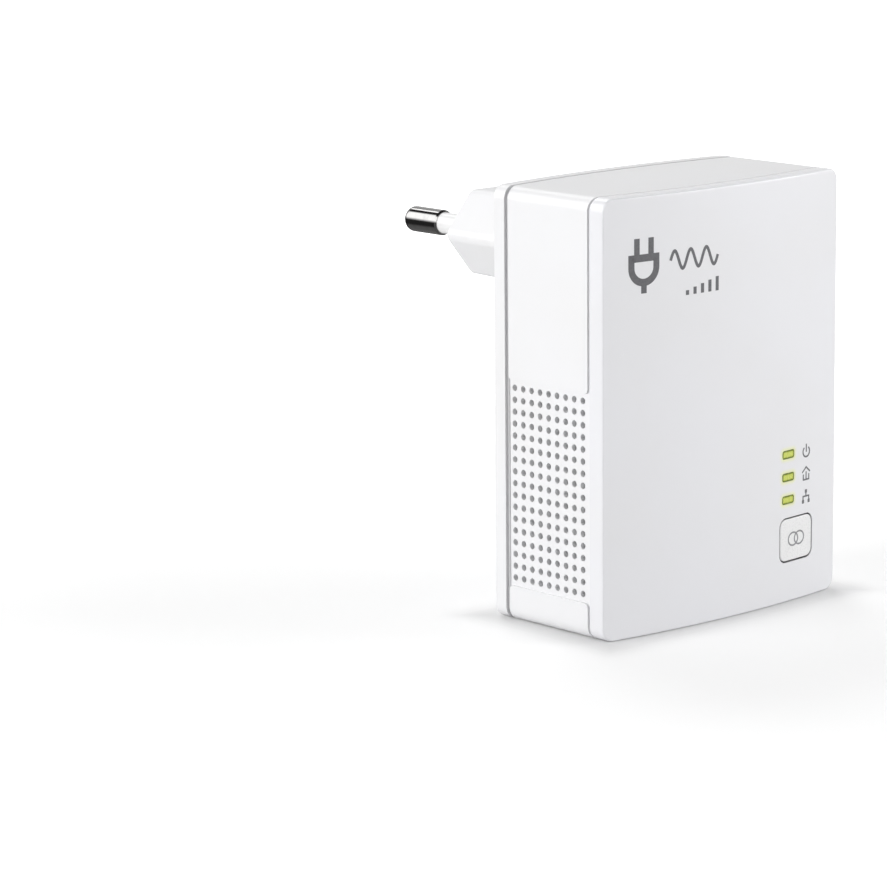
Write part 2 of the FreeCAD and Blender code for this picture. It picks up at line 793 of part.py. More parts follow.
def trim_to_face(body, half, across):
    """Cut a body back to the bowed front face."""
    sketch = sketch_on(body, "XY_Plane", "trim_outline")
    left, right = f"{across} - {half}", f"{across} + {half}"
    outline(sketch, [
        (left, front_depth(left), "face_radius", 1),
        (right, front_depth(right)),
        (right, "-2 * clear_of_case"),
        (left, "-2 * clear_of_case"),
    ])
    feature(body, "Pocket", "trim", sketch, "case_height * 2", both=True)


def make_pair_button():
    """Key cap flush with the face, with a retaining flange and a stem that presses the switch."""
    body = new_body("pair_button")
    cap = sketch_facing(body, "cap_outline", BEFORE_FACE)
    rounded_rectangle(cap, "key_across", "key_up", "key_opening_width - 2 * key_gap",
                      "key_opening_height - 2 * key_gap", "key_opening_corner - key_gap")
    pad_rearward(body, "cap", cap, "key_flange_start + key_flange_thickness + clear_of_case")
    trim_to_face(body, "key_opening_width", "key_across")
    fillet(body, "cap_edge", "key_edge_radius", lies_on_face(front_depth))
    flange = sketch_facing(body, "flange_outline", "key_flange_start")
    rounded_rectangle(flange, "key_across", "key_up", "key_opening_width + 2 * key_flange",
                      "key_opening_height + 2 * key_flange", "key_opening_corner")
    pad_rearward(body, "flange", flange, "key_flange_thickness")
    stem = sketch_facing(body, "stem_outline", "key_flange_start")
    circle(stem, "key_across", "key_up", "key_stem_radius")
    pad_rearward(body, "stem", stem, "key_stem_end - key_flange_start")


def make_light_guide():
    """Clear moulding: three heads in the windows, joined by a bar, each reaching back to its lamp."""
    body = new_body("light_guide")
    heads = sketch_facing(body, "head_outline", BEFORE_FACE)
    for step in range(3):
        rounded_rectangle(heads, "window_across", f"window_low + {step} * window_pitch",
                          "window_width - 2 * guide_clearance", "window_height - 2 * guide_clearance",
                          "window_corner - guide_clearance")
    pad_rearward(body, "heads", heads, "guide_end + clear_of_case")
    trim_to_face(body, "window_width", "window_across")
    bar = sketch_facing(body, "bar_outline", "guide_bar_start")
    rectangle(bar, "window_across", "window_low + window_pitch", "guide_bar_width",
              "2 * window_pitch + 2 * window_height")
    pad_rearward(body, "bar", bar, "guide_bar_thickness")


def make_pair_switch():
    """Push switch on the main board: a square body with a well, and the plunger that slides in it."""
    body = new_body("pair_switch_body")
    case = sketch_facing(body, "case_outline", "board_depth - switch_thickness")
    rectangle(case, "key_across", "key_up", "switch_size", "switch_size")
    pad_rearward(body, "case", case, "switch_thickness")
    well = sketch_facing(body, "well_outline", "board_depth - switch_thickness")
    circle(well, "key_across", "key_up", "plunger_radius + plunger_gap")
    cut_rearward(body, "well", well, "switch_well")
    plunger = new_body("pair_switch_plunger")
    tip = sketch_facing(plunger, "outline", "plunger_start")
    circle(tip, "key_across", "key_up", "plunger_radius")
    pad_rearward(plunger, "rod", tip, "plunger_length")


# ---------------------------------------------------------------- network jack


def make_jack():
    """Modular network socket that opens downwards, and its eight slanting contact wires."""
    body = new_body("jack_housing", "0", "jack_underside")
    shell = sketch_on(body, "XY_Plane", "shell_outline")
    rectangle(shell, "0", "jack_start + jack_depth / 2", "jack_width", "jack_depth")
    feature(body, "Pad", "shell", shell, "jack_length")
    mouth = sketch_on(body, "XY_Plane", "mouth_outline")
    start = "jack_start + jack_cavity_start"
    shoulder = f"{start} + jack_cavity_depth"
    step = f"{shoulder} + jack_step_depth"
    latch = f"{step} + jack_latch_depth"
    wide, middle, narrow = "jack_cavity_width / 2", "jack_step_width / 2", "jack_latch_width / 2"
    notch, notch_start = f"({wide} + jack_notch_depth)", f"{start} + jack_notch_start"
    notch_end = f"{notch_start} + jack_notch_length"
    right_side = [
        (wide, start), (wide, notch_start), (notch, notch_start), (notch, notch_end), (wide, notch_end),
        (wide, shoulder), (middle, shoulder), (middle, step), (narrow, step), (narrow, latch),
    ]
    left_side = [(f"-{across}", depth) for across, depth in reversed(right_side)]
    outline(mouth, right_side + left_side)
    feature(body, "Pocket", "mouth", mouth, "jack_cavity_length", backwards=True)

    wires = new_body("jack_contacts", "-3.5 * contact_pitch", "jack_underside")
    profile = sketch_on(wires, "YZ_Plane", "profile")
    root = f"{start} + contact_gap"
    outline(profile, [
        (root, "contact_low"),
        (f"{root} + contact_thickness", "contact_low"),
        (f"{root} + contact_slant + contact_thickness", "jack_cavity_length"),
        (f"{root} + contact_slant", "jack_cavity_length"),
    ])
    wire = feature(wires, "Pad", "wire", profile, "contact_width", both=True)
    repeat(wires, "wires", wire, "X_Axis", "contact_pitch", "8")


# ---------------------------------------------------------------- boards and what they carry


def make_main_board():
    """Board behind the front cover, held by three screws."""
    body = new_body("main_board")
    sketch = sketch_facing(body, "outline", "board_depth")
    rounded_rectangle(sketch, "0", "main_board_low + main_board_height / 2", "2 * board_half_width",
                      "main_board_height", "board_corner")
    for across, up in SCREW_PLACES:
        circle(sketch, across, up, "screw_radius")
    pad_rearward(body, "board", sketch, "board_thickness")


def make_power_board():
    """Mains board that stands on the rear cover's posts."""
    body = new_body("power_board")
    sketch = sketch_facing(body, "outline", "power_board_depth")
    rounded_rectangle(sketch, "0", "power_board_low + power_board_height / 2", "2 * board_half_width",
                      "power_board_height", "board_corner")
    pad_rearward(body, "board", sketch, "board_thickness")


def make_board_screws():
    """Three self-tapping screws, heads on the board's rear."""
    body = new_body("board_screws")
    shanks = sketch_facing(body, "shank_outline", "board_depth - screw_length + board_thickness")
    heads = sketch_facing(body, "head_outline", "board_depth + board_thickness")
    for across, up in SCREW_PLACES:
        circle(shanks, across, up, "screw_radius")
        circle(heads, across, up, "screw_head_radius")
    pad_rearward(body, "shanks", shanks, "screw_length")
    pad_rearward(body, "heads", heads, "screw_head_thickness")


def make_board_header():
    """Four-way header that joins the two boards: insulating block and round pins."""
    block_body = new_body("header_block")
    pins_body = new_body("header_pins")
    frame = sketch_facing(block_body, "outline", "board_depth + board_thickness")
    rectangle(frame, "header_across", "header_up", "header_width", "header_height")
    pins = sketch_facing(pins_body, "outline", "board_depth + board_thickness")
    for step in range(4):
        across = f"header_across + {step - 1.5} * header_pitch"
        circle(frame, across, "header_up", "header_hole_radius")
        circle(pins, across, "header_up", "header_pin_radius")
    pad_rearward(block_body, "block", frame, "header_block_depth")
    pad_rearward(pins_body, "pins", pins, "power_board_depth - board_depth - board_thickness")


def make_processor():
    """Powerline chip on the main board's rear and its finned heatsink."""
    size = "processor_size"
    left, low = f"processor_across - {size} / 2", f"processor_up - {size} / 2"
    block("powerline_chip", (size, "processor_thickness", size),
          (left, "board_depth + board_thickness", low))
    body = new_body("chip_heatsink")
    base_depth = "board_depth + board_thickness + processor_thickness"
    base = sketch_facing(body, "base_outline", base_depth)
    rectangle(base, "processor_across", "processor_up", size, size)
    pad_rearward(body, "base", base, "heatsink_base")
    fin = sketch_facing(body, "fin_outline", f"{base_depth} + heatsink_base")
    rectangle(fin, f"{left} + heatsink_fin / 2", "processor_up", "heatsink_fin", size)
    first = pad_rearward(body, "fin", fin, "heatsink_fin_depth")
    repeat(body, "fins", first, "X_Axis", f"({size} - heatsink_fin) / (heatsink_fins - 1)", "heatsink_fins")


def make_status_lamps():
    """Three chip lamps on the main board, one behind each light guide head."""
    body = new_body("status_lamps")
    sketch = sketch_facing(body, "outline", "board_depth - lamp_thickness")
    for step in range(3):
        rectangle(sketch, "window_across", f"window_low + {step} * window_pitch", "lamp_width",
                  "lamp_height")
    pad_rearward(body, "lamps", sketch, "lamp_thickness")


def make_chip_capacitors():
    """Two rows of small ceramic capacitors below the memory chip."""
    body = new_body("chip_capacitors")
    sketch = sketch_facing(body, "outline", "board_depth + board_thickness")
    rectangle(sketch, "chip_capacitor_first", "chip_capacitor_up", "chip_capacitor_width",
              "chip_capacitor_height")
    first = pad_rearward(body, "one", sketch, "chip_capacitor_height")
    repeat_in_grid(body, "all", first, ("X_Axis", "chip_capacitor_pitch", "5"),
                   ("Z_Axis", "chip_capacitor_pitch / 2", "2"))


def make_supply_transformer():
    """Ferrite core with two windows, and the wound bobbin round its middle leg."""
    across, up = "transformer_across", "transformer_up"
    core = new_body("supply_transformer_core")
    frame = sketch_facing(core, "outline", "transformer_core_start")
    rectangle(frame, across, up, "transformer_core_width", "transformer_core_height")
    offset = "(transformer_leg + transformer_window_width) / 2"
    for side in ("-", "+"):
        rectangle(frame, f"{across} {side} {offset}", up, "transformer_window_width",
                  "transformer_window_height")
    pad_rearward(core, "core", frame, "transformer_core_depth")
    winding = new_body("supply_transformer_winding")
    coil_depth = "power_board_depth - transformer_winding_depth"
    coil = sketch_facing(winding, "outline", coil_depth)
    width = "transformer_leg + 2 * transformer_window_width - 2 * transformer_gap"
    height = "transformer_window_height - 2 * transformer_gap"
    rounded_rectangle(coil, across, up, width, height, "board_corner")
    pad_rearward(winding, "coil", coil, "transformer_winding_depth")
    passage = sketch_facing(winding, "passage_outline", "transformer_core_start - transformer_gap")
    rectangle(passage, across, up, "transformer_leg + 2 * transformer_gap", "transformer_core_height")
    cut_rearward(winding, "passage", passage, "transformer_core_depth + 2 * transformer_gap")


def make_bulk_capacitors():
    """Two electrolytic capacitors that lie across the power board."""
    body = new_body("bulk_capacitors")
    ends = sketch_on(body, "YZ_Plane", "outline", "bulk_capacitor_start")
    for step in range(2):
        circle(ends, "power_board_depth - bulk_capacitor_radius - can_gap",
               f"bulk_capacitor_low + {step} * bulk_capacitor_pitch", "bulk_capacitor_radius")
    feature(body, "Pad", "cans", ends, "bulk_capacitor_length")


def make_fuse():
    """Glass fuse across the top of the power board, with a metal cap at each end."""
    depth = "power_board_depth - fuse_cap_radius - can_gap"
    glass = new_body("fuse_tube")
    tube = sketch_on(glass, "YZ_Plane", "outline")
    circle(tube, depth, "fuse_up", "fuse_radius")
    feature(glass, "Pad", "tube", tube, "fuse_length - 2 * fuse_cap_length", both=True)
    caps = new_body("fuse_caps")
    cap = sketch_on(caps, "YZ_Plane", "outline", "fuse_length / 2 - fuse_cap_length")
    circle(cap, depth, "fuse_up", "fuse_cap_radius")
    first = feature(caps, "Pad", "cap", cap, "fuse_cap_length")
    mirror_across(caps, "both_caps", first)


def make_plain_components():
    """The remaining components: plain blocks and plain round cans or discs."""
    for name in COMPONENTS:
        block(name, [f"{name}_size_{axis}" for axis in ("across", "depth", "up")],
              [f"{name}_from_{axis}" for axis in ("across", "depth", "up")])
    for name, (plane, *_) in ROUND_COMPONENTS.items():
        body = new_body(name)
        if plane == "XZ_Plane":
            sketch = sketch_facing(body, "outline", f"{name}_start")
        else:
            sketch = sketch_on(body, plane, "outline", f"{name}_start")
        circle(sketch, f"{name}_centre_one", f"{name}_centre_two", f"{name}_radius")
        feature(body, "Pad", "can", sketch, f"{name}_length", backwards=(plane == "XZ_Plane"))


def check_all():
    """Stop if any object failed, or any piece has no valid solid."""
    document.recompute()
    for item in document.Objects:
        if "Invalid" in item.State or "Error" in item.State:
            raise RuntimeError(f"{item.Name}: {item.State}")
    for item in nodes:
        if item.Shape.isNull() or not item.Shape.isValid() or not item.Shape.Solids:
            raise RuntimeError(f"{item.Label} has no valid solid")


def write_all():
    os.makedirs("parts", exist_ok=True)
    for item in nodes:
        item.Shape.exportStep(f"parts/{item.Label}.step")
        print(f"{item.Label}: {len(item.Shape.Solids)} solid(s), {item.Shape.Volume:.1f} mm3")


make_front_cover()
make_middle_casing()
make_rear_cover()
make_rating_label()
for side_name, side_across in (("left", "-pin_offset"), ("right", "pin_offset")):
    make_plug_pin(side_name, side_across)
    make_pin_sleeve(side_name, side_across)
    make_pin_terminal(side_name, side_across)
make_pair_button()
make_light_guide()
make_pair_switch()
make_jack()
make_main_board()
make_power_board()
make_board_screws()
make_board_header()
make_processor()
make_status_lamps()
make_chip_capacitors()
make_supply_transformer()
make_bulk_capacitors()
make_fuse()
make_plain_components()
check_all()
write_all()
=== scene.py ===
"""Powerline adapter: the finish of every piece, its printed marks, and a plain studio round it."""

import json
import math

import bpy
import numpy as np
from mathutils import Matrix, Vector


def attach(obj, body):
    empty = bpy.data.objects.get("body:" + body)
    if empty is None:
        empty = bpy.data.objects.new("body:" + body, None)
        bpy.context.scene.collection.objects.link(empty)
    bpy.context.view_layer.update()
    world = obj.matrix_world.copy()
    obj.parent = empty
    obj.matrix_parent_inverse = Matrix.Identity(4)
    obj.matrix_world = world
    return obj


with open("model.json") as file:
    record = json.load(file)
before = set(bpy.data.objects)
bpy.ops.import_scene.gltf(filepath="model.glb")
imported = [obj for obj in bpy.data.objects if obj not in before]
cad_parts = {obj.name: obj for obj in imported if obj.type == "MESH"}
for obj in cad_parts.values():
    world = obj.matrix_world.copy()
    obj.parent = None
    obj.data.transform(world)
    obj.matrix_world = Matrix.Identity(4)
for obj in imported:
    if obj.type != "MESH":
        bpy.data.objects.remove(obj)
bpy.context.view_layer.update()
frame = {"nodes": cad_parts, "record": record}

MM = 0.001

# ---------------------------------------------------------------- shader writing


class Value:
    """A socket of a finish. Arithmetic on it adds Math nodes."""

    def __init__(self, finish, socket):
        self.finish = finish
        self.socket = socket

    def maths(self, operation, *values):
        return self.finish.node("Math", {"operation": operation}, dict(enumerate(values)))

    def __add__(self, other):
        return self.maths("ADD", self, other)

    def __radd__(self, other):
        return self.maths("ADD", other, self)

    def __sub__(self, other):
        return self.maths("SUBTRACT", self, other)

    def __rsub__(self, other):
        return self.maths("SUBTRACT", other, self)

    def __mul__(self, other):
        return self.maths("MULTIPLY", self, other)

    def __rmul__(self, other):
        return self.maths("MULTIPLY", other, self)

    def __truediv__(self, other):
        return self.maths("DIVIDE", self, other)

    def __pow__(self, other):
        return self.maths("POWER", self, other)

    def __abs__(self):
        return self.maths("ABSOLUTE", self)

    def at_least(self, other):
        return self.maths("MAXIMUM", self, other)

    def at_most(self, other):
        return self.maths("MINIMUM", self, other)

    def wrapped(self, period):
        """Distance to the nearest whole multiple of the period."""
        return abs(self.maths("WRAP", self, -period / 2, period / 2))

    def ramp(self, low, high):
        """Smooth rise from 0 at low to 1 at high."""
        return self.finish.node(
            "MapRange", {"interpolation_type": "SMOOTHSTEP"},
            {"Value": self, "From Min": low, "From Max": high})

    def within(self, low, high, soft):
        """1 between low and high, 0 outside, with soft edges."""
        return self.ramp(low - soft, low) * (1 - self.ramp(high, high + soft))


class Finish:
    """A material whose nodes are written as expressions; lengths in it are millimetres."""

    def __init__(self, owner):
        self.material = bpy.data.materials.new(owner) if isinstance(owner, str) else owner
        self.material.use_nodes = True
        self.tree = self.material.node_tree
        self.tree.nodes.clear()
        spot = self.node("TexCoord", {}, {}, "Object")
        self.spot = self.node("VectorMath", {"operation": "SCALE"}, {0: spot, "Scale": 1 / MM})
        self.x, self.y, self.z = (self.node("SeparateXYZ", {}, {0: self.spot}, axis) for axis in "XYZ")

    def node(self, kind, settings, inputs, output=0):
        """One node: its settings, then the value or link of each named or numbered socket."""
        made = self.tree.nodes.new("ShaderNode" + kind)
        for name, value in settings.items():
            setattr(made, name, value)
        for key, value in inputs.items():
            if isinstance(value, Value):
                self.tree.links.new(value.socket, made.inputs[key])
            else:
                made.inputs[key].default_value = value
        return Value(self, made.outputs[output]) if made.outputs else None

    def stretched(self, x, y, z):
        """The place on the piece with each axis multiplied."""
        return self.node("VectorMath", {"operation": "MULTIPLY"}, {0: self.spot, 1: (x, y, z)})

    def noise(self, size, detail=2.0, rough=0.5, spot=None):
        """Cloudy pattern from 0 to 1 about its middle, with features of that size."""
        return self.node("TexNoise", {}, {
            "Vector": spot or self.spot, "Scale": 1 / size, "Detail": detail, "Roughness": rough})

    def cells(self, size, spot=None):
        """Distance to the nearest scattered point, in cell widths."""
        return self.node("TexVoronoi", {}, {"Vector": spot or self.spot, "Scale": 1 / size})

    def tint(self, share, plain, changed):
        """Colour that goes from plain to changed as the share goes from 0 to 1."""
        ends = [colour if isinstance(colour, Value) else (*colour, 1.0) for colour in (plain, changed)]
        return self.node("Mix", {"data_type": "RGBA"}, {0: share, 6: ends[0], 7: ends[1]}, 2)

    def relief(self, height, depth, under=None):
        """Normal of a surface whose height runs from 0 to 1 over that depth in micrometres."""
        inputs = {"Height": height, "Distance": depth * 1e-6, "Strength": 1.0}
        if under is not None:
            inputs["Normal"] = under
        return self.node("Bump", {}, inputs)

    def done(self, **sockets):
        """Close the finish with a Principled shader; words in a socket's name are split by _."""
        named = {name.replace("_", " "): value for name, value in sockets.items()}
        for name in ("Base Color", "Emission Color"):
            if name in named and not isinstance(named[name], Value):
                named[name] = (*named[name], 1.0)
        shader = self.node("BsdfPrincipled", {}, named)
        self.node("OutputMaterial", {}, {"Surface": shader})
        return self.material


def grey(level, cool=0.0):
    """A near-neutral colour; cool lifts the blue a little over the red."""
    return (level - cool * 0.4, level - cool * 0.3, level + cool)


# ---------------------------------------------------------------- finishes of the outside

# The front's vertical edges and, from there, the rear cover's lip, along Y.
FRONT_EDGE, LIP_DEPTH = -28.4, 20.7
# Front and back bow outwards on the same circle; the rise is how far the middle stands proud.
BOW_RADIUS, HALF_WIDTH = 157.25, 25.0
BOW_RISE = BOW_RADIUS - math.sqrt(BOW_RADIUS ** 2 - HALF_WIDTH ** 2)
# Lamp windows: middle, lowest one, spacing, and how far above and below them their glow may reach.
WINDOW_X, WINDOW_LOW, WINDOW_PITCH, WINDOW_REACH = 13.0, 16.0, 3.52, 1.7
# Pair key: middle of its opening, and half the zone across and up that holds the gap round it.
KEY_X, KEY_Z, KEY_ZONE_X, KEY_ZONE_Z = 15.05, 9.7, 4.9, 4.3
# Rating label on the back: height of its middle, and half its printed frame across and up.
LABEL_Z, LABEL_HALF_WIDTH, LABEL_HALF_HEIGHT = 26.0, 17.0, 13.0


def from_window(finish, half_width, half_height, corner):
    """Distance outside the nearest lamp window's rounded outline, negative inside."""
    across = (abs(finish.x - WINDOW_X) - (half_width - corner)).at_least(0.0)
    up = ((finish.z - WINDOW_LOW).wrapped(WINDOW_PITCH) - (half_height - corner)).at_least(0.0)
    return (across * across + up * up) ** 0.5 - corner


def fallen_back(finish):
    """How far the bowed front face has fallen back at this distance from its middle line."""
    return BOW_RADIUS - (BOW_RADIUS ** 2 - finish.x * finish.x) ** 0.5


# Masks of the recessed joint walls that get painted shade.
def in_key_gap(finish):
    """1 on the walls of the gap round the key, below the face; 0 elsewhere."""
    across, up = abs(finish.x - KEY_X), abs(finish.z - KEY_Z)
    near = (1 - across.ramp(KEY_ZONE_X, KEY_ZONE_X + 0.1)) * (1 - up.ramp(KEY_ZONE_Z, KEY_ZONE_Z + 0.1))
    below_face = finish.y - (FRONT_EDGE - BOW_RISE) - fallen_back(finish)
    return near * below_face.ramp(0.12, 0.3)


def in_rear_joint(finish):
    """1 on whatever of the rear cover lies in the joint ahead of its lip; 0 behind it."""
    behind_lip = finish.y - (FRONT_EDGE + LIP_DEPTH + BOW_RISE) + fallen_back(finish)
    return 1 - behind_lip.ramp(0.02, 0.1)


def white_shell(name, colour, roughness, grain, wave, glow=False, joint=None, painted_joint_shade=0.8):
    """Injection-moulded white: faint flow clouds, mould grain, slow waves, handled patches, painted shade on
    recessed joint walls; with glow, a painted lamp glow round the windows.
    """
    finish = Finish(name)
    clouds = finish.noise(26.0, 3.0, 0.55)
    speckle = finish.noise(0.22, 2.0)
    handled = finish.noise(9.0, 4.0, 0.6)
    warm = [level * share for level, share in zip(colour, (0.985, 0.982, 0.972))]
    base = finish.tint(clouds.ramp(0.35, 0.75), colour, warm)
    base = finish.tint(speckle.ramp(0.62, 0.8) * 0.25, base, [level * 0.965 for level in colour])
    if glow:
        # Painted light: the white round each lamp window is tinted yellow-green, standing in for the glow
        # the lamps throw onto it.
        painted_glow = 1 - from_window(finish, 1.45, 0.675, 0.4).ramp(0.0, 0.95)
        highest = WINDOW_LOW + 2 * WINDOW_PITCH
        rows = finish.z.within(WINDOW_LOW - WINDOW_REACH, highest + WINDOW_REACH, 0.05)
        front = 1 - finish.y.ramp(FRONT_EDGE + 1.2, FRONT_EDGE + 1.8)
        base = finish.tint(painted_glow * painted_glow * rows * front * 0.8, base, (0.84, 0.86, 0.46))
    # Painted shade: the joint walls picked by the mask are tinted towards near black, standing in for the
    # shade in the gap.
    if joint:
        base = finish.tint(joint(finish) * painted_joint_shade, base, (0.20, 0.20, 0.21))
    rough = roughness + (handled - 0.5) * 0.03 + (speckle - 0.5) * 0.05
    swell = finish.relief(finish.noise(3.2, 1.0), wave)
    skin = finish.relief(finish.noise(0.11, 2.0, 0.6), grain, swell)
    return finish.done(Base_Color=base, Roughness=rough, Normal=skin, IOR=1.5)


def lamp_guide(name):
    """Clear yellow-green moulding, lit from behind: bright middle, deeper green rim, small bubbles."""
    finish = Finish(name)
    inside = 0.0 - from_window(finish, 1.4, 0.625, 0.35)
    heart = inside.ramp(0.08, 0.36)
    cloud = finish.noise(0.6, 3.0)
    colour = finish.tint(heart, (0.09, 0.13, 0.02), (0.47, 0.53, 0.12))
    colour = finish.tint(cloud.ramp(0.4, 0.8) * 0.35, colour, (0.53, 0.60, 0.18))
    light = finish.tint(heart, (0.04, 0.055, 0.0), (0.17, 0.17, 0.02))
    skin = finish.relief(finish.noise(0.3, 2.0), 1.0)
    rough = 0.22 + finish.noise(0.25) * 0.1
    return finish.done(Base_Color=colour, Roughness=rough, Normal=skin,
                       Emission_Color=light, Emission_Strength=0.8, IOR=1.49)


def pin_plating(name):
    """Nickel-plated turned pin: faint rings from the turning tool, fine hazy patches, dull nose."""
    finish = Finish(name)
    rings = finish.noise(0.09, 2.0, spot=finish.stretched(0.02, 1.0, 0.02))
    haze = finish.noise(1.3, 4.0, 0.6)
    along = finish.stretched(1.0, 0.1, 1.0)
    scratch = finish.noise(0.12, 2.0, spot=along)
    colour = finish.tint(haze.ramp(0.3, 0.8), (0.24, 0.237, 0.233), (0.20, 0.197, 0.197))
    rough = 0.06 + haze * 0.06 + scratch.ramp(0.6, 0.8) * 0.06
    skin = finish.relief(rings, 0.6, finish.relief(scratch, 0.3))
    return finish.done(Base_Color=colour, Metallic=1.0, Roughness=rough, Normal=skin)


def printed_ink(name, colour):
    """Pad-printed ink: slightly uneven cover, dull, with a faint raised grain."""
    finish = Finish(name)
    cover = finish.noise(0.35, 3.0)
    deep = [level * 0.82 for level in colour]
    base = finish.tint(cover.ramp(0.35, 0.75), colour, deep)
    skin = finish.relief(finish.noise(0.08, 2.0), 1.2)
    return finish.done(Base_Color=base, Roughness=0.34 + cover * 0.12, Normal=skin)


def label_paper(name):
    """Matt label film: fine fibres and a faint border."""
    finish = Finish(name)
    fibre = finish.noise(0.16, 3.0, spot=finish.stretched(0.3, 1.0, 1.0))
    edge = (abs(finish.x) - LABEL_HALF_WIDTH).at_least(abs(finish.z - LABEL_Z) - LABEL_HALF_HEIGHT)
    border = edge.within(-0.12, 0.08, 0.05)
    base = finish.tint(fibre.ramp(0.3, 0.8) * 0.6, (0.80, 0.81, 0.82), (0.74, 0.75, 0.77))
    base = finish.tint(border * 0.7, base, (0.46, 0.47, 0.49))
    skin = finish.relief(fibre, 3.0)
    return finish.done(Base_Color=base, Roughness=0.5 + fibre * 0.12, Normal=skin)


# ---------------------------------------------------------------- finishes of the inside


def moulding(name, colour, roughness, size, grain):
    """Plain technical moulding: mottled tone, grain of the given size, uneven sheen."""
    finish = Finish(name)
    mottle = finish.noise(size * 14, 3.0)
    fine = finish.noise(size, 3.0, 0.6)
    pale = [level * 1.18 + 0.006 for level in colour]
    base = finish.tint(mottle.ramp(0.3, 0.8), colour, pale)
    base = finish.tint(fine.ramp(0.6, 0.85) * 0.3, base, [level * 0.75 for level in colour])
    rough = roughness + (mottle - 0.5) * 0.12 + (fine - 0.5) * 0.08
    return finish.done(Base_Color=base, Roughness=rough, Normal=finish.relief(fine, grain))


def metal(name, colour, roughness, lay, grain):
    """Worked metal: streaks along its lay, cloudy tarnish, fine pits."""
    finish = Finish(name)
    streaks = finish.noise(0.08, 3.0, 0.6, finish.stretched(*lay))
    tarnish = finish.noise(2.4, 4.0, 0.6)
    pits = finish.cells(0.35).ramp(0.05, 0.16)
    dull = [level * 0.72 for level in colour]
    base = finish.tint(tarnish.ramp(0.4, 0.85), colour, dull)
    base = finish.tint((1 - pits) * 0.4, base, [level * 0.5 for level in colour])
    rough = roughness + tarnish * 0.14 + streaks * 0.08
    skin = finish.relief(streaks, grain, finish.relief(pits, 1.0))
    return finish.done(Base_Color=base, Metallic=1.0, Roughness=rough, Normal=skin)


def circuit_board(name, mask, copper, ink):
    """Solder mask over copper: blocks of raised tracks either way, tinned holes, printed part outlines."""
    finish = Finish(name)
    block, chance = (
        finish.node("TexVoronoi", {"distance": "CHEBYCHEV"}, {"Vector": finish.spot, "Scale": 0.16}, output)
        for output in (0, 1))
    turn = finish.node("SeparateColor", {}, {0: chance}, 0).ramp(0.49, 0.51)
    across = 1 - finish.x.wrapped(0.9).ramp(0.14, 0.2)
    upward = 1 - finish.z.wrapped(0.9).ramp(0.14, 0.2)
    tracks = (across * turn + upward * (1 - turn)) * block.ramp(0.08, 0.1)
    hole = finish.cells(2.1)
    ring = hole.within(0.07, 0.15, 0.01)
    drilled = 1 - hole.ramp(0.06, 0.07)
    marks = finish.x.wrapped(5.4).within(2.3, 2.42, 0.02) * finish.z.wrapped(4.2).ramp(0.9, 1.0)
    weave = finish.noise(0.5, 2.0, spot=finish.stretched(1.0, 0.2, 3.0))
    base = finish.tint(weave.ramp(0.3, 0.8) * 0.5, mask, [level * 0.7 for level in mask])
    base = finish.tint(tracks * 0.55, base, [level * 1.7 for level in mask])
    base = finish.tint(marks * 0.8, base, ink)
    base = finish.tint(ring, base, copper)
    base = finish.tint(drilled, base, (0.02, 0.02, 0.02))
    height = tracks * 0.6 + ring * 0.4 + (1 - drilled) * 0.4
    rough = 0.34 + weave * 0.12 - ring * 0.12
    return finish.done(Base_Color=base, Roughness=rough, Metallic=ring * 0.9,
                       Normal=finish.relief(height, 30.0))


def chip_package(name, colour, across, up, pin_one):
    """Moulded chip: sand-blasted epoxy, a polished dot by pin one, a faint frame from the mould."""
    finish = Finish(name)
    sand = finish.noise(0.07, 3.0, 0.7)
    swirl = finish.noise(2.0, 2.0)
    reach = ((finish.x - across - pin_one[0]) ** 2.0 + (finish.z - up - pin_one[1]) ** 2.0) ** 0.5
    dot = 1 - reach.ramp(0.32, 0.36)
    side = abs(finish.x - across).at_least(abs(finish.z - up))
    frame_line = side.within(abs(pin_one[0]) + 0.6, abs(pin_one[0]) + 0.66, 0.03)
    base = finish.tint(swirl.ramp(0.3, 0.8), colour, [level * 1.5 for level in colour])
    base = finish.tint(sand.ramp(0.55, 0.8) * 0.5, base, [level * 2.2 + 0.01 for level in colour])
    base = finish.tint(frame_line * 0.5, base, [level * 2.0 + 0.02 for level in colour])
    rough = 0.62 - dot * 0.4 + (sand - 0.5) * 0.1
    skin = finish.relief(sand * 0.3 + (1 - dot) * 0.7, 12.0)
    return finish.done(Base_Color=base, Roughness=rough, Normal=skin)


def ferrite_core(name, colour):
    """Sintered ferrite: dark granules, chalky bloom, chipped little pits."""
    finish = Finish(name)
    grains = finish.cells(0.14)
    bloom = finish.noise(1.6, 4.0, 0.6)
    chips = 1 - finish.cells(1.9).ramp(0.05, 0.12)
    base = finish.tint(bloom.ramp(0.35, 0.8), colour, [level * 1.9 for level in colour])
    base = finish.tint(chips, base, [level * 0.5 for level in colour])
    skin = finish.relief(grains * 0.5 - chips, 20.0)
    return finish.done(Base_Color=base, Roughness=0.58 + bloom * 0.2, Normal=skin)


def wrapped_tape(name, colour):
    """Polyester tape wound over wire: glossy film, lapped edges, wires showing as soft ribs."""
    finish = Finish(name)
    lap = finish.y.wrapped(4.6).within(2.1, 2.25, 0.04)
    ribs = finish.y.wrapped(0.32).ramp(0.02, 0.14)
    crinkle = finish.noise(1.1, 3.0)
    base = finish.tint(ribs * 0.4, colour, [level * 0.72 for level in colour])
    base = finish.tint(lap * 0.6, base, [level * 0.5 for level in colour])
    base = finish.tint(crinkle.ramp(0.5, 0.85) * 0.4, base, [min(1.0, level * 1.25) for level in colour])
    skin = finish.relief(ribs * 0.4 + crinkle * 0.6, 40.0)
    return finish.done(Base_Color=base, Roughness=0.24 + crinkle * 0.18, Normal=skin)


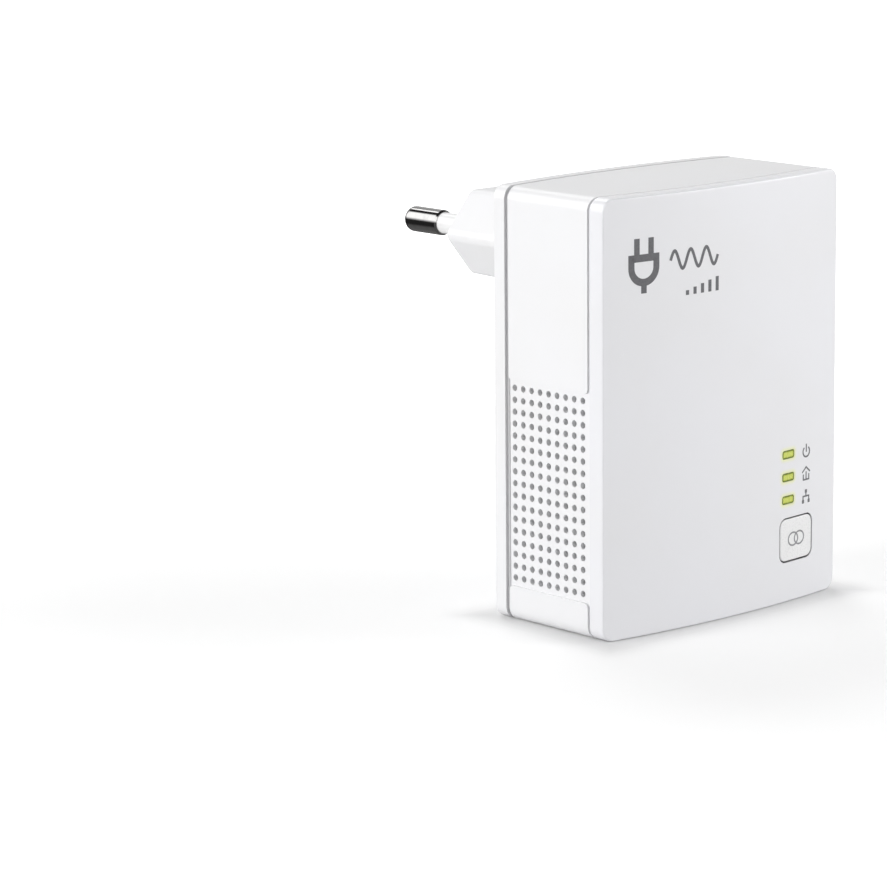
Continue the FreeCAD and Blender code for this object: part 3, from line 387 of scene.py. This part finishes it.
def shrink_sleeve(name, colour, stripe, across, depth):
    """Printed film shrunk on a can: a pale stripe down one side, puckered ends, fine scuffs."""
    finish = Finish(name)
    side = (finish.x - across) / (abs(finish.y - depth) + 0.01)
    band = side.within(-0.25, 0.25, 0.03) * (1 - finish.y.ramp(depth - 0.1, depth + 0.1))
    scuff = finish.noise(0.5, 4.0, 0.65)
    pucker = finish.noise(0.6, 2.0, spot=finish.stretched(1.0, 1.0, 0.15))
    base = finish.tint(band * 0.85, colour, stripe)
    worn = [min(1.0, level * 1.6 + 0.03) for level in colour]
    base = finish.tint(scuff.ramp(0.6, 0.85) * 0.25, base, worn)
    skin = finish.relief(pucker, 18.0)
    return finish.done(Base_Color=base, Roughness=0.26 + scuff * 0.16, Normal=skin)


def dipped_epoxy(name, colour):
    """Dipped powder epoxy: thick lumpy gloss, paler on the lumps, with pinholes."""
    finish = Finish(name)
    lumps = finish.noise(1.2, 2.0)
    pinholes = 1 - finish.cells(0.8).ramp(0.04, 0.1)
    base = finish.tint(lumps.ramp(0.3, 0.8), colour, [min(1.0, level * 1.35) for level in colour])
    base = finish.tint(pinholes, base, [level * 0.5 for level in colour])
    skin = finish.relief(lumps - pinholes * 0.4, 55.0)
    return finish.done(Base_Color=base, Roughness=0.3 + lumps * 0.14, Normal=skin)


def fuse_glass(name):
    """Clear drawn tube: faint draw lines and a little haze."""
    finish = Finish(name)
    lines = finish.noise(0.2, 2.0, spot=finish.stretched(0.05, 1.0, 1.0))
    haze = finish.noise(1.5, 3.0)
    base = finish.tint(haze.ramp(0.4, 0.9), (0.90, 0.96, 0.94), (0.78, 0.86, 0.84))
    return finish.done(Base_Color=base, Roughness=0.03 + haze * 0.06, Normal=finish.relief(lines, 3.0),
                       Transmission_Weight=0.9, IOR=1.5)


def lamp_resin(name):
    """Cast lamp: milky lens with a bright die in it."""
    finish = Finish(name)
    die = 1 - finish.cells(0.9).ramp(0.1, 0.25)
    milk = finish.noise(0.4, 3.0)
    base = finish.tint(milk.ramp(0.3, 0.8), (0.70, 0.78, 0.34), (0.82, 0.88, 0.56))
    light = finish.tint(die, (0.30, 0.42, 0.04), (0.85, 1.0, 0.30))
    return finish.done(Base_Color=base, Roughness=0.2 + milk * 0.15, Normal=finish.relief(milk, 4.0),
                       Emission_Color=light, Emission_Strength=1.0)


def finned_aluminium(name):
    """Extruded heatsink: die lines along the fins, anodised haze."""
    return metal(name, (0.62, 0.63, 0.65), 0.3, (1.0, 1.0, 0.05), 2.5)


WHITE = grey(0.855, 0.02)
FINISHES = {
    # gloss_white and button_white paint shade on the key gap walls; rear_white paints a lighter shade in the
    # joint ahead of the lip.
    "gloss_white": lambda name: white_shell(name, WHITE, 0.26, 0.5, 2.0, True, in_key_gap),
    "satin_white": lambda name: white_shell(name, grey(0.86, 0.01), 0.36, 1.2, 2.0),
    "rear_white": lambda name: white_shell(
        name, grey(0.86, 0.01), 0.36, 1.2, 2.5, joint=in_rear_joint, painted_joint_shade=0.3),
    "button_white": lambda name: white_shell(
        name, grey(0.88, 0.004), 0.28, 0.6, 1.0, joint=in_key_gap),
    "sleeve_white": lambda name: white_shell(name, grey(0.87, 0.004), 0.24, 0.4, 1.5),
    "label": label_paper,
    "guide_green": lamp_guide,
    "jack_grey": lambda name: moulding(name, (0.70, 0.71, 0.72), 0.42, 0.2, 1.5),
    "contact_gold": lambda name: metal(name, (0.86, 0.64, 0.24), 0.2, (1.0, 0.2, 0.1), 0.8),
    "pin_metal": pin_plating,
    "terminal_brass": lambda name: metal(name, (0.74, 0.55, 0.24), 0.26, (1.0, 0.1, 1.0), 1.5),
    "board_green": lambda name: circuit_board(
        name, (0.030, 0.16, 0.075), (0.75, 0.72, 0.62), (0.8, 0.8, 0.78)),
    "board_tan": lambda name: circuit_board(
        name, (0.36, 0.25, 0.11), (0.70, 0.68, 0.62), (0.75, 0.72, 0.66)),
    "screw_steel": lambda name: metal(name, (0.58, 0.58, 0.60), 0.3, (1.0, 1.0, 1.0), 1.5),
    "header_black": lambda name: moulding(name, (0.022, 0.022, 0.024), 0.5, 0.12, 3.0),
    "header_tin": lambda name: metal(name, (0.66, 0.65, 0.62), 0.28, (1.0, 0.1, 1.0), 1.0),
    "chip_black": lambda name: chip_package(name, (0.016, 0.016, 0.018), 8.0, 38.0, (-5.0, 5.0)),
    "heatsink_aluminium": finned_aluminium,
    "network_chip_black": lambda name: chip_package(name, (0.018, 0.018, 0.02), -14.5, 13.5, (-2.2, 2.2)),
    "memory_chip_black": lambda name: chip_package(name, (0.02, 0.02, 0.022), -6.0, 36.0, (-3.2, 4.0)),
    "flash_chip_black": lambda name: chip_package(name, (0.02, 0.02, 0.021), 14.5, 22.0, (-1.9, 1.4)),
    "crystal_can": lambda name: metal(name, (0.64, 0.64, 0.65), 0.22, (0.2, 1.0, 1.0), 1.0),
    "magnetics_black": lambda name: chip_package(name, (0.024, 0.024, 0.025), 0.0, 23.2, (-6.6, 2.6)),
    "lamp_resin": lamp_resin,
    "ceramic_tan": lambda name: moulding(name, (0.36, 0.23, 0.12), 0.5, 0.08, 3.0),
    "switch_body_black": lambda name: moulding(name, (0.03, 0.03, 0.032), 0.45, 0.1, 2.0),
    "switch_plunger": lambda name: moulding(name, (0.62, 0.60, 0.54), 0.4, 0.1, 1.5),
    "ferrite": lambda name: ferrite_core(name, (0.045, 0.045, 0.05)),
    "winding_tape": lambda name: wrapped_tape(name, (0.78, 0.50, 0.05)),
    "capacitor_sleeve": lambda name: shrink_sleeve(
        name, (0.018, 0.024, 0.045), (0.55, 0.56, 0.58), -17.0, -15.3),
    "output_capacitor_sleeve": lambda name: shrink_sleeve(
        name, (0.02, 0.07, 0.045), (0.62, 0.60, 0.45), 18.3, -14.5),
    "fuse_glass": fuse_glass,
    "fuse_caps": lambda name: metal(name, (0.64, 0.63, 0.60), 0.24, (0.1, 1.0, 1.0), 1.0),
    "film_capacitor": lambda name: moulding(name, (0.62, 0.44, 0.06), 0.35, 0.16, 4.0),
    "varistor_epoxy": lambda name: dipped_epoxy(name, (0.03, 0.08, 0.30)),
    "disc_capacitor": lambda name: dipped_epoxy(name, (0.05, 0.16, 0.38)),
    "rectifier_black": lambda name: chip_package(name, (0.017, 0.017, 0.018), -2.25, 44.0, (-2.4, 1.6)),
    "controller_black": lambda name: chip_package(name, (0.018, 0.018, 0.019), -2.5, 36.5, (-1.8, 1.3)),
    "optocoupler_white": lambda name: moulding(name, (0.68, 0.66, 0.58), 0.5, 0.1, 3.0),
    "inductor_ferrite": lambda name: ferrite_core(name, (0.05, 0.045, 0.043)),
    "coupling_ferrite": lambda name: ferrite_core(name, (0.05, 0.048, 0.047)),
}


def dress_nodes():
    """Give every carried-over piece the finish of its slot."""
    made = {slot: build(slot) for slot, build in FINISHES.items()}
    for part in frame["record"]["subparts"]:
        piece = frame["nodes"][part["node"]]
        piece.data.materials.clear()
        piece.data.materials.append(made[part["material_slot"]])


# ---------------------------------------------------------------- printed marks

ICON_X = 17.45
INK_RISE, INK_STEP, INK_ROOT = 0.012, 0.001, 0.02


def bowed_face(across):
    """Place along Y of the bowed front: the circle's fall from the middle line, less its whole rise."""
    return FRONT_EDGE - BOW_RISE + BOW_RADIUS - np.sqrt(BOW_RADIUS ** 2 - across ** 2)


def finely(points, step, closed):
    """The same path with extra points on its straight runs, no further apart than the step."""
    ends = np.vstack([points, points[:1]]) if closed else points
    lengths = np.linalg.norm(np.diff(ends, axis=0), axis=1)
    counts = np.maximum(np.ceil(lengths / step).astype(int), 1)
    run = np.repeat(np.arange(len(lengths)), counts)
    first = np.cumsum(counts) - counts
    share = (np.arange(counts.sum()) - first[run]) / counts[run]
    made = ends[run] + (ends[run + 1] - ends[run]) * share[:, None]
    return made if closed else np.vstack([made, ends[-1:]])


def stroke(points, width, rise, closed=False):
    """A flat band of ink carried along a path on the bowed face.

    Each point of the path moves half the width along its mitre to either side, and the four corners
    there are those two places on the face and the same two places lifted by the rise.
    """
    path = finely(np.array(points, float), 0.35, closed)
    if closed:
        before, after = path - np.roll(path, 1, 0), np.roll(path, -1, 0) - path
    else:
        steps = np.diff(path, axis=0)
        before, after = np.vstack([steps[:1], steps]), np.vstack([steps, steps[-1:]])
    sides = []
    for way in (before, after):
        unit = way / np.linalg.norm(way, axis=1)[:, None]
        sides.append(np.stack([-unit[:, 1], unit[:, 0]], 1))
    mitre = sides[0] + sides[1]
    mitre /= np.maximum((mitre * sides[0]).sum(1), 0.35)[:, None]
    left, right = path + mitre * width / 2, path - mitre * width / 2
    flat = np.stack([left, left, right, right], 1)
    lift = np.array([-INK_ROOT, rise, rise, -INK_ROOT])
    x, z = flat[..., 0], flat[..., 1]
    spots = np.stack([x, bowed_face(x) - lift, z], -1)
    count = len(path)
    station = np.arange(count if closed else count - 1)[:, None]
    corner = np.arange(4)[None, :]
    after_station, after_corner = (station + 1) % count, (corner + 1) % 4
    faces = np.stack(np.broadcast_arrays(
        station * 4 + corner, station * 4 + after_corner,
        after_station * 4 + after_corner, after_station * 4 + corner), -1).reshape(-1, 4)
    if not closed:
        last = (count - 1) * 4
        faces = np.vstack([faces, [[3, 2, 1, 0]], [[last, last + 1, last + 2, last + 3]]])
    return spots.reshape(-1, 3) * MM, faces


def ring(across, up, half_width, half_height, start, end, count=40):
    """Points of an ellipse's arc, its angle running evenly from start to end in degrees."""
    angle = np.radians(np.linspace(start, end, count))
    return np.stack([across + half_width * np.cos(angle), up + half_height * np.sin(angle)], 1)


def closed_ring(across, up, half_width, half_height, count=48):
    """Points of a whole ellipse, without the repeated last one."""
    return ring(across, up, half_width, half_height, 0, 360, count + 1)[:-1]


def print_mark(name, strokes, body, ink):
    """One piece from many strokes, each a hair higher than the one before it."""
    spots, faces, total = [], [], 0
    for order, (points, width, closed) in enumerate(strokes):
        made, quads = stroke(points, width, INK_RISE + INK_STEP * order, closed)
        spots.append(made)
        faces.append(quads + total)
        total += len(made)
    mesh = bpy.data.meshes.new(name)
    mesh.from_pydata(np.vstack(spots).tolist(), [], np.vstack(faces).tolist())
    mesh.materials.append(ink)
    piece = bpy.data.objects.new(name, mesh)
    bpy.context.scene.collection.objects.link(piece)
    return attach(piece, body)


def power_strokes(up):
    return [(ring(ICON_X, up - 0.15, 0.82, 0.8, 128, 412), 0.27, False),
            ([(ICON_X, up + 1.05), (ICON_X, up - 0.2)], 0.27, False)]


def house_strokes(up):
    left, right, floor = ICON_X - 0.7, ICON_X + 0.7, up - 0.95
    return [([(ICON_X - 0.98, up + 0.2), (ICON_X, up + 1.0), (ICON_X + 0.98, up + 0.2)], 0.25, False),
            ([(left, up - 0.1), (left, floor), (right, floor), (right, up - 0.1)], 0.25, False),
            ([(ICON_X, up + 0.3), (ICON_X, floor)], 0.25, False)]


def network_strokes(up):
    left, right, bar = ICON_X - 0.72, ICON_X + 0.72, up + 0.05
    nodes = [(ICON_X, up + 0.82), (left, up - 0.76), (right, up - 0.76)]
    blocks = [([(x, z - 0.27), (x, z + 0.27)], 0.52, False) for x, z in nodes]
    return blocks + [([(left, up - 0.5), (left, bar), (right, bar), (right, up - 0.5)], 0.24, False),
                     ([(ICON_X, up + 0.6), (ICON_X, bar)], 0.24, False)]


def plug_strokes(across, up):
    """A plain two-pin plug seen from the side: two pins, a broad body and a short lead."""
    body = np.vstack([[(across - 2.3, up + 1.0), (across + 2.3, up + 1.0)],
                      ring(across, up - 0.4, 2.3, 2.2, 0, -180, 25)])
    pins = [([(across + side, up + 1.2), (across + side, up + 3.9)], 1.0, False) for side in (-1.3, 1.3)]
    return pins + [(body, 1.1, True), ([(across, up - 2.4), (across, up - 4.2)], 1.0, False)]


def wave_strokes(start, end, up):
    """A carrier wave: height follows the sine of the distance, three turns from start to end."""
    x = np.linspace(start, end, 90)
    z = up + 1.35 * np.sin((x - start) / (end - start) * 6 * math.pi)
    return [(np.stack([x, z], 1), 0.5, False)]


def bar_strokes(start, low):
    """Five bars of rising height."""
    return [([(start + 1.5 * step, low), (start + 1.5 * step, low + 0.7 + 0.36 * step)], 0.62, False)
            for step in range(5)]


def print_marks():
    grey_ink = printed_ink("grey_ink", (0.15, 0.15, 0.16))
    dark_ink = printed_ink("dark_ink", (0.13, 0.13, 0.14))
    pale_ink = printed_ink("pale_ink", (0.30, 0.30, 0.31))
    icons = [power_strokes(22.95), house_strokes(19.4), network_strokes(15.8)]
    for name, strokes in zip(("power_symbol", "house_symbol", "network_symbol"), icons):
        print_mark(name, strokes, "case", grey_ink)
    print_mark("plug_symbol", plug_strokes(-17.6, 55.5), "case", dark_ink)
    print_mark("wave_symbol", wave_strokes(-12.6, -3.2, 55.6), "case", dark_ink)
    print_mark("signal_bars", bar_strokes(-9.3, 50.2), "case", dark_ink)
    links = [(closed_ring(KEY_X + side, KEY_Z, 1.15, 1.0), 0.26, True) for side in (-0.75, 0.75)]
    print_mark("pairing_symbol", links, "key", pale_ink)


# ---------------------------------------------------------------- studio


def stage_plane(name, material):
    """A flat square floor just under the adapter."""
    half, drop = 4.0, 5e-5
    mesh = bpy.data.meshes.new(name)
    corners = ((-half, -half), (half, -half), (half, half), (-half, half))
    mesh.from_pydata([(x, y, -drop) for x, y in corners], [], [(0, 1, 2, 3)])
    mesh.materials.append(material)
    floor = bpy.data.objects.new(name, mesh)
    bpy.context.scene.collection.objects.link(floor)


def floor_paint():
    """White paper floor, lifted to pure white away from the adapter so that its shadow shows; the lift fades
    out close round its footprint, which adds painted shade there to the real shadow.

    Shiny surfaces see it dark, and darkest behind the plug.
    """
    finish = Finish("floor_paper")
    seen = finish.node("LightPath", {}, {}, "Is Camera Ray")
    mirrored = finish.node("LightPath", {}, {}, "Is Glossy Ray")
    fibre = finish.noise(0.6, 3.0)
    base = finish.tint(fibre * 0.04, (0.86, 0.86, 0.86), (0.82, 0.82, 0.82))
    dark = mirrored * (0.65 + 0.3 * finish.y.ramp(90.0, 125.0))
    base = finish.tint(dark, base, (0.02, 0.02, 0.02))
    paper = finish.node("BsdfDiffuse", {}, {"Color": base})
    away = (finish.x * finish.x + finish.y * finish.y) ** 0.5
    middle_y, half_depth = -17.0, 13.0
    beside = (abs(finish.x) - HALF_WIDTH).at_least(abs(finish.y - middle_y) - half_depth)
    # Partly real, partly painted shadow: next to the footprint the lift is withheld, so the floor there
    # stays darker than white even where it is lit.
    glow = 0.24 * beside.ramp(-1.0, 7.0) + 0.6 * away.ramp(60.0, 300.0)
    lift = finish.node("Emission", {}, {"Color": (1.0, 1.0, 1.0, 1.0), "Strength": seen * glow})
    both = finish.node("AddShader", {}, {0: paper, 1: lift})
    finish.node("OutputMaterial", {}, {"Surface": both})
    return finish.material


def surround(ambient):
    """White backdrop and soft light; shiny surfaces see a bright panel on the left and a dark ceiling."""
    room = Finish(bpy.data.worlds.new("room"))
    bpy.context.scene.world = room.material
    seen = room.node("LightPath", {}, {}, "Is Camera Ray")
    mirrored = room.node("LightPath", {}, {}, "Is Glossy Ray")
    through = room.node("LightPath", {}, {}, "Is Transmission Ray")
    ray = room.node("TexCoord", {}, {}, "Generated")
    across = room.node("SeparateXYZ", {}, {0: ray}, "X")
    height = room.node("SeparateXYZ", {}, {0: ray}, "Z")
    panel = (1 - across.ramp(-0.3, -0.16)) * height.ramp(0.0, 0.25) * (1 - height.ramp(0.62, 0.72))
    ceiling = 1 - 0.95 * height.ramp(0.56, 0.67)
    white = (seen + through).at_most(1.0)
    plain = 1 - (white + mirrored).at_most(1.0)
    level = ambient * plain + white + mirrored * (0.8 * ceiling + 3.4 * panel)
    light = room.node("Background", {}, {"Color": (1.0, 1.0, 1.0, 1.0), "Strength": level})
    room.node("OutputWorld", {}, {"Surface": light})


def soft_box(name, spot, size, watts):
    """A large square lamp that faces the middle of the case."""
    data = bpy.data.lights.new(name, "AREA")
    data.shape = "SQUARE"
    data.size = size
    data.energy = watts
    lamp = bpy.data.objects.new(name, data)
    bpy.context.scene.collection.objects.link(lamp)
    middle = Vector((0.0, 0.0, 0.035))
    lamp.location = spot
    lamp.rotation_euler = (middle - Vector(spot)).to_track_quat("-Z", "Y").to_euler()


def place_camera():
    """A long lens to the left of the front and a little above it."""
    data = bpy.data.cameras.new("camera")
    data.sensor_width = 36.0
    data.lens = 155.97
    data.clip_start, data.clip_end = 0.01, 50.0
    camera = bpy.data.objects.new("camera", data)
    bpy.context.scene.collection.objects.link(camera)
    bearing, fall, roll = (math.radians(angle) for angle in (42.032, 11.553, -0.531))
    level = math.cos(fall)
    forward = Vector((math.sin(bearing) * level, math.cos(bearing) * level, -math.sin(fall)))
    turned = forward.to_track_quat("-Z", "Y").to_matrix() @ Matrix.Rotation(roll, 3, "Z")
    camera.matrix_world = Matrix.Translation((-0.40801, -0.41878, 0.1419)) @ turned.to_4x4()
    bpy.context.scene.camera = camera


dress_nodes()
print_marks()
stage_plane("floor", floor_paint())
surround(0.524)
soft_box("left_lamp", (-1.15, 0.3, 0.3), 0.7, 8.3)
soft_box("right_lamp", (1.02, -0.93, 0.25), 0.8, 12.0)
soft_box("back_lamp", (0.3, 0.7, 0.95), 0.5, 3.2)
place_camera()
bpy.context.scene.view_settings.view_transform = "Standard"
